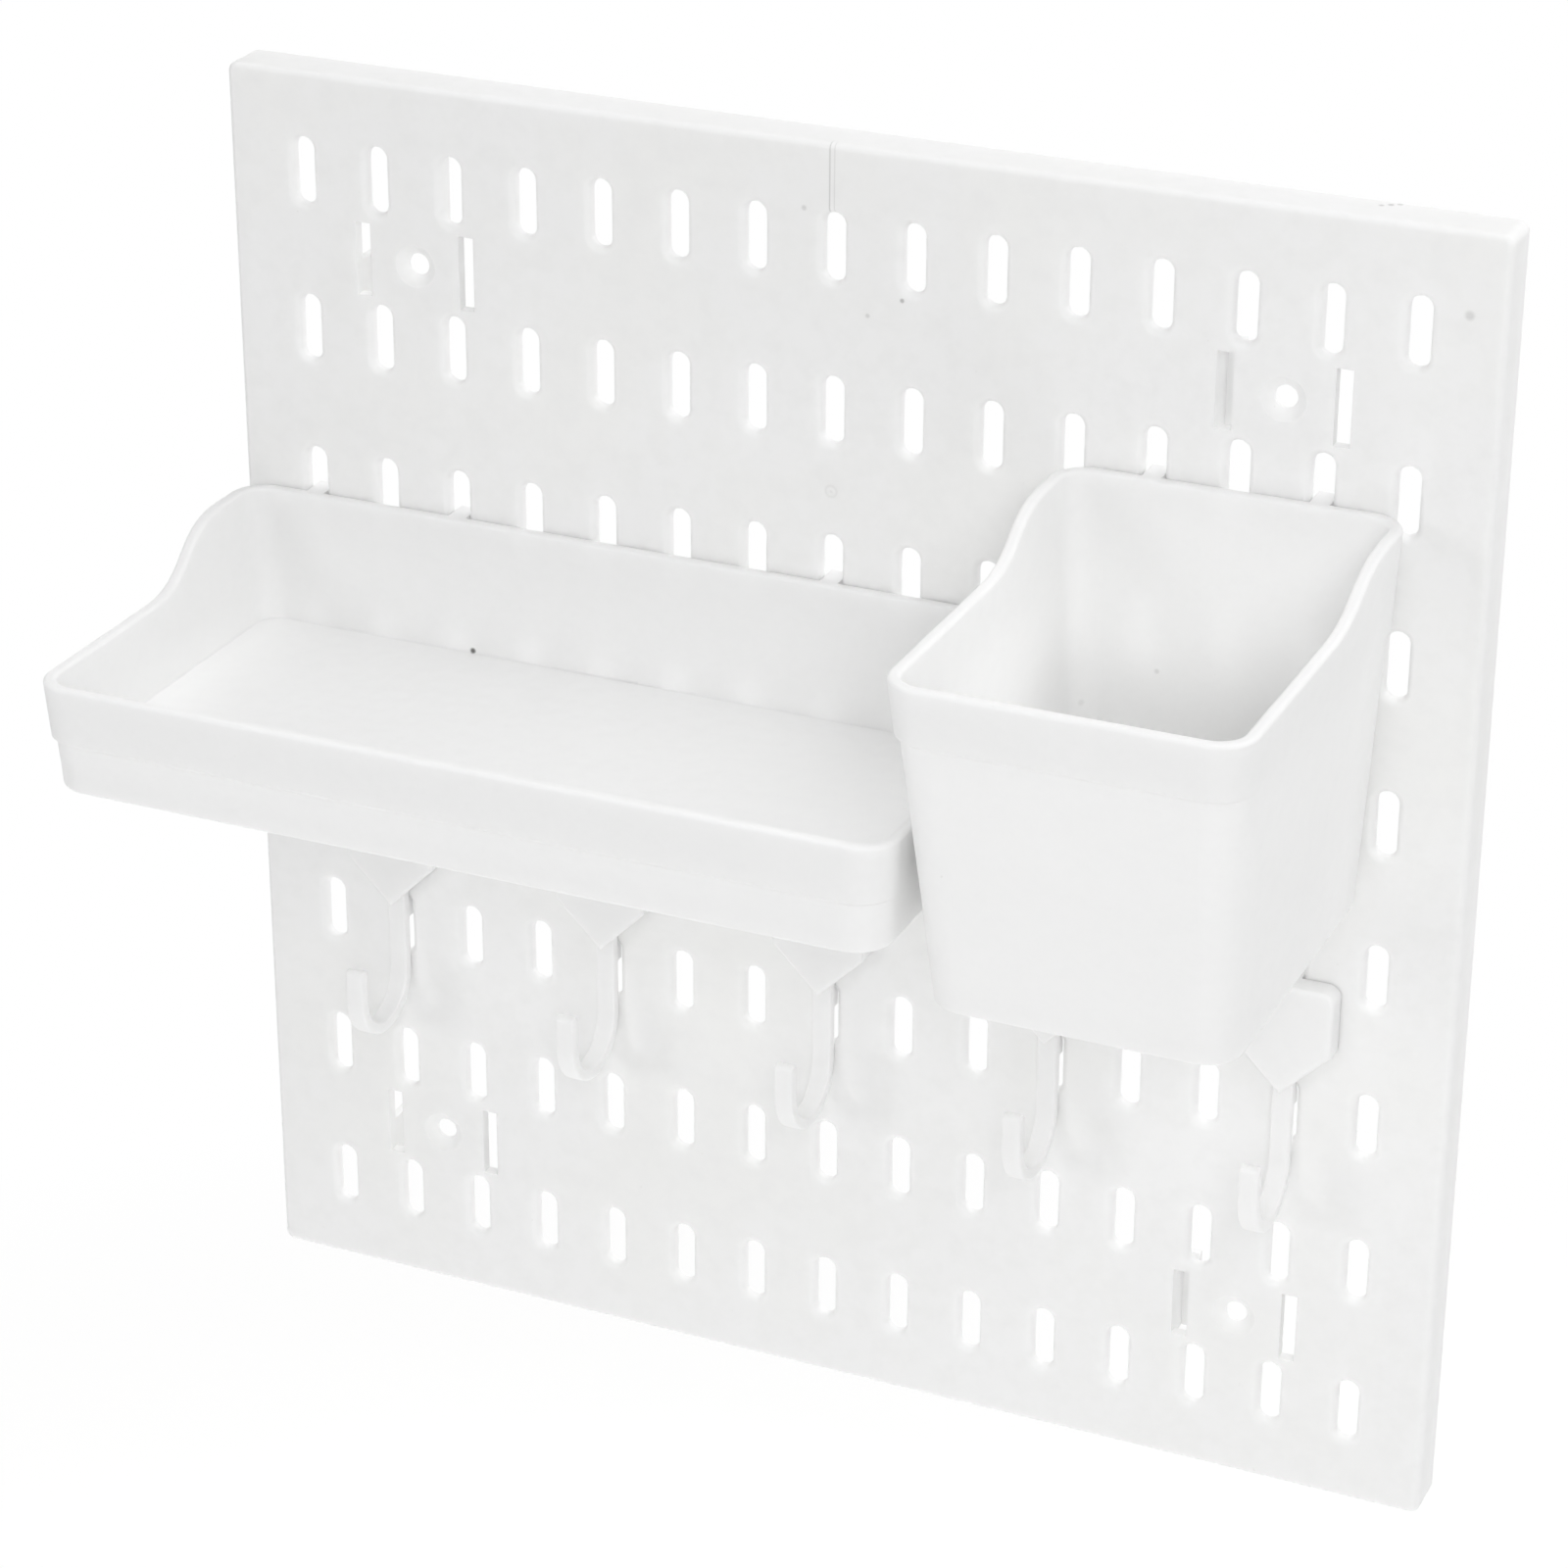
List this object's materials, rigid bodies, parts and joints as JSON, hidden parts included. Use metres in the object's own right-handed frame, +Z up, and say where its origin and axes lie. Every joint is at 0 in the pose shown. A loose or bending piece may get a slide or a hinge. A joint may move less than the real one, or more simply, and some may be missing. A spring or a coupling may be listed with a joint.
{
  "type": "pegboard",
  "caption": "White slotted wall pegboard carrying an open tray and a deep cup hung by claws, with a row of pointed-plate J hooks clipped into the slots below",
  "frame": {"origin": "middle of the four wall screw holes, on the back of the slotted plate, 9 mm in front of the wall", "axes": "+Z up the board, +X to the right seen from the front, +Y into the wall"},
  "size_m": [0.32, 0.125, 0.33],
  "materials": {
    "board": "white, fine satin moulded texture",
    "bins": "white, smooth satin moulded",
    "hooks": "white, smooth satin moulded"
  },
  "bodies": {
    "board": {"board": "board"},
    "tray": {"tray": "bins"},
    "cup": {"cup": "bins"},
    "hook_1": {"hook_1": "hooks"},
    "hook_2": {"hook_2": "hooks"},
    "hook_3": {"hook_3": "hooks"},
    "hook_4": {"hook_4": "hooks"},
    "hook_5": {"hook_5": "hooks"}
  },
  "joints": [
    {"name": "tray_lift", "type": "slide", "parent": "board", "child": "tray", "axis": [0, 0, 1], "range_m": [0, 0.007]},
    {"name": "cup_lift", "type": "slide", "parent": "board", "child": "cup", "axis": [0, 0, 1], "range_m": [0, 0.007]},
    {"name": "hook_1_tilt", "type": "hinge", "parent": "board", "child": "hook_1", "pos_m": [-0.12, -0.0033, -0.0233], "axis": [-1, 0, 0], "range_deg": [0, 12]},
    {"name": "hook_2_tilt", "type": "hinge", "parent": "board", "child": "hook_2", "pos_m": [-0.06, -0.0033, -0.0233], "axis": [-1, 0, 0], "range_deg": [0, 12]},
    {"name": "hook_3_tilt", "type": "hinge", "parent": "board", "child": "hook_3", "pos_m": [0, -0.0033, -0.0233], "axis": [-1, 0, 0], "range_deg": [0, 12]},
    {"name": "hook_4_tilt", "type": "hinge", "parent": "board", "child": "hook_4", "pos_m": [0.06, -0.0033, -0.0233], "axis": [-1, 0, 0], "range_deg": [0, 12]},
    {"name": "hook_5_tilt", "type": "hinge", "parent": "board", "child": "hook_5", "pos_m": [0.12, -0.0033, -0.0233], "axis": [-1, 0, 0], "range_deg": [0, 12]}
  ]
}
